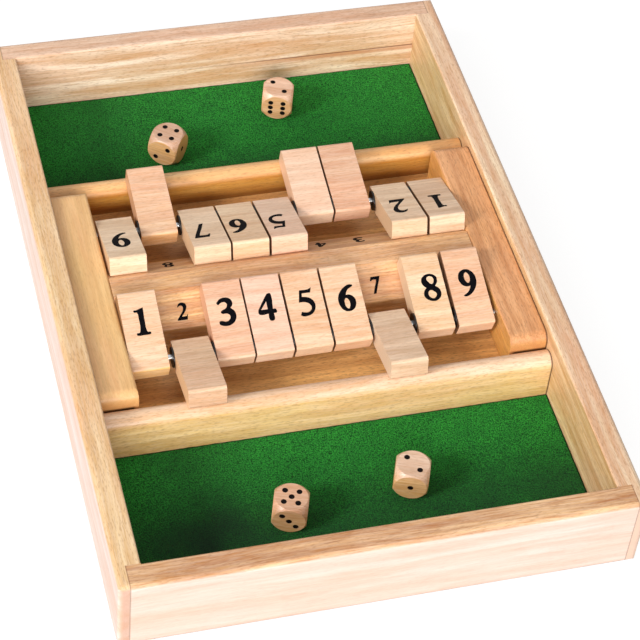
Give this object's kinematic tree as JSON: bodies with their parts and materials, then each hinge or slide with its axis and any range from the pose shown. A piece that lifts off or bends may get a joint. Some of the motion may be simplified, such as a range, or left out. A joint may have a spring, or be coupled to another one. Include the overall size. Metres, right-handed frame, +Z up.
{
  "type": "shut the box game",
  "caption": "Two-player shut the box game: a hardwood tray with felted dice trays at both ends and a row of hinged numbered tiles for each player, with wooden dice.",
  "frame": {"origin": "centre of the underside of the tray", "axes": "+X along the tile rows to the near player's right, +Y from the near player to the far one, +Z up"},
  "size_m": [0.24, 0.352, 0.045],
  "materials": {
    "side_board_wood": "clear satin lacquer on pale hardwood",
    "end_board_wood": "clear satin lacquer on pale hardwood",
    "base_panel_wood": "unfinished panel, matte",
    "floor_board_wood": "clear satin lacquer on brown hardwood",
    "green_felt": "short green felt",
    "crossbar_wood": "clear satin lacquer on pale hardwood",
    "block_wood": "clear satin lacquer, a little darker",
    "rod_steel": "bright drawn steel",
    "washer_steel": "dark oiled steel",
    "tile_wood": "sanded pale wood, thin satin lacquer",
    "die_wood": "tumbled wood with burnt black pips"
  },
  "bodies": {
    "tray": {"left_side": "side_board_wood", "right_side": "side_board_wood", "near_end": "end_board_wood", "far_end": "end_board_wood", "base_panel": "base_panel_wood", "near_felt": "green_felt", "far_felt": "green_felt", "middle_floor": "floor_board_wood", "near_crossbar": "crossbar_wood", "far_crossbar": "crossbar_wood", "left_block": "block_wood", "right_block": "block_wood", "number_ridge": "block_wood", "near_rod": "rod_steel", "far_rod": "rod_steel", "near_washers": "washer_steel", "far_washers": "washer_steel"},
    "near_tile_1": {"near_tile_1": "tile_wood"},
    "near_tile_2": {"near_tile_2": "tile_wood"},
    "near_tile_3": {"near_tile_3": "tile_wood"},
    "near_tile_4": {"near_tile_4": "tile_wood"},
    "near_tile_5": {"near_tile_5": "tile_wood"},
    "near_tile_6": {"near_tile_6": "tile_wood"},
    "near_tile_7": {"near_tile_7": "tile_wood"},
    "near_tile_8": {"near_tile_8": "tile_wood"},
    "near_tile_9": {"near_tile_9": "tile_wood"},
    "far_tile_1": {"far_tile_1": "tile_wood"},
    "far_tile_2": {"far_tile_2": "tile_wood"},
    "far_tile_3": {"far_tile_3": "tile_wood"},
    "far_tile_4": {"far_tile_4": "tile_wood"},
    "far_tile_5": {"far_tile_5": "tile_wood"},
    "far_tile_6": {"far_tile_6": "tile_wood"},
    "far_tile_7": {"far_tile_7": "tile_wood"},
    "far_tile_8": {"far_tile_8": "tile_wood"},
    "far_tile_9": {"far_tile_9": "tile_wood"},
    "die_1": {"die_1": "die_wood"},
    "die_2": {"die_2": "die_wood"},
    "die_3": {"die_3": "die_wood"},
    "die_4": {"die_4": "die_wood"}
  },
  "joints": [
    {"name": "near_tile_1_turn", "type": "hinge", "parent": "tray", "child": "near_tile_1", "pos_m": [0, -0.0421, 0.0302], "axis": [1, 0, 0], "range_deg": [0, 150.57]},
    {"name": "near_tile_2_turn", "type": "hinge", "parent": "tray", "child": "near_tile_2", "pos_m": [0, -0.0421, 0.0302], "axis": [1, 0, 0], "range_deg": [-150.57, 0]},
    {"name": "near_tile_3_turn", "type": "hinge", "parent": "tray", "child": "near_tile_3", "pos_m": [0, -0.0421, 0.0302], "axis": [1, 0, 0], "range_deg": [0, 150.57]},
    {"name": "near_tile_4_turn", "type": "hinge", "parent": "tray", "child": "near_tile_4", "pos_m": [0, -0.0421, 0.0302], "axis": [1, 0, 0], "range_deg": [0, 150.57]},
    {"name": "near_tile_5_turn", "type": "hinge", "parent": "tray", "child": "near_tile_5", "pos_m": [0, -0.0421, 0.0302], "axis": [1, 0, 0], "range_deg": [0, 150.57]},
    {"name": "near_tile_6_turn", "type": "hinge", "parent": "tray", "child": "near_tile_6", "pos_m": [0, -0.0421, 0.0302], "axis": [1, 0, 0], "range_deg": [0, 150.57]},
    {"name": "near_tile_7_turn", "type": "hinge", "parent": "tray", "child": "near_tile_7", "pos_m": [0, -0.0421, 0.0302], "axis": [1, 0, 0], "range_deg": [-150.57, 0]},
    {"name": "near_tile_8_turn", "type": "hinge", "parent": "tray", "child": "near_tile_8", "pos_m": [0, -0.0421, 0.0302], "axis": [1, 0, 0], "range_deg": [0, 150.57]},
    {"name": "near_tile_9_turn", "type": "hinge", "parent": "tray", "child": "near_tile_9", "pos_m": [0, -0.0421, 0.0302], "axis": [1, 0, 0], "range_deg": [0, 150.57]},
    {"name": "far_tile_1_turn", "type": "hinge", "parent": "tray", "child": "far_tile_1", "pos_m": [0, 0.0421, 0.0302], "axis": [1, 0, 0], "range_deg": [-151.55, 0]},
    {"name": "far_tile_2_turn", "type": "hinge", "parent": "tray", "child": "far_tile_2", "pos_m": [0, 0.0421, 0.0302], "axis": [1, 0, 0], "range_deg": [-151.55, 0]},
    {"name": "far_tile_3_turn", "type": "hinge", "parent": "tray", "child": "far_tile_3", "pos_m": [0, 0.0421, 0.0302], "axis": [1, 0, 0], "range_deg": [0, 151.55]},
    {"name": "far_tile_4_turn", "type": "hinge", "parent": "tray", "child": "far_tile_4", "pos_m": [0, 0.0421, 0.0302], "axis": [1, 0, 0], "range_deg": [0, 151.55]},
    {"name": "far_tile_5_turn", "type": "hinge", "parent": "tray", "child": "far_tile_5", "pos_m": [0, 0.0421, 0.0302], "axis": [1, 0, 0], "range_deg": [-151.55, 0]},
    {"name": "far_tile_6_turn", "type": "hinge", "parent": "tray", "child": "far_tile_6", "pos_m": [0, 0.0421, 0.0302], "axis": [1, 0, 0], "range_deg": [-151.55, 0]},
    {"name": "far_tile_7_turn", "type": "hinge", "parent": "tray", "child": "far_tile_7", "pos_m": [0, 0.0421, 0.0302], "axis": [1, 0, 0], "range_deg": [-151.55, 0]},
    {"name": "far_tile_8_turn", "type": "hinge", "parent": "tray", "child": "far_tile_8", "pos_m": [0, 0.0421, 0.0302], "axis": [1, 0, 0], "range_deg": [0, 151.55]},
    {"name": "far_tile_9_turn", "type": "hinge", "parent": "tray", "child": "far_tile_9", "pos_m": [0, 0.0421, 0.0302], "axis": [1, 0, 0], "range_deg": [-151.55, 0]},
    {"name": "die_1_lift", "type": "slide", "parent": "tray", "child": "die_1", "axis": [0, 0, 1], "range_m": [0, 0.06]},
    {"name": "die_2_lift", "type": "slide", "parent": "tray", "child": "die_2", "axis": [0, 0, 1], "range_m": [0, 0.06]},
    {"name": "die_3_lift", "type": "slide", "parent": "tray", "child": "die_3", "axis": [0, 0, 1], "range_m": [0, 0.06]},
    {"name": "die_4_lift", "type": "slide", "parent": "tray", "child": "die_4", "axis": [0, 0, 1], "range_m": [0, 0.06]}
  ]
}
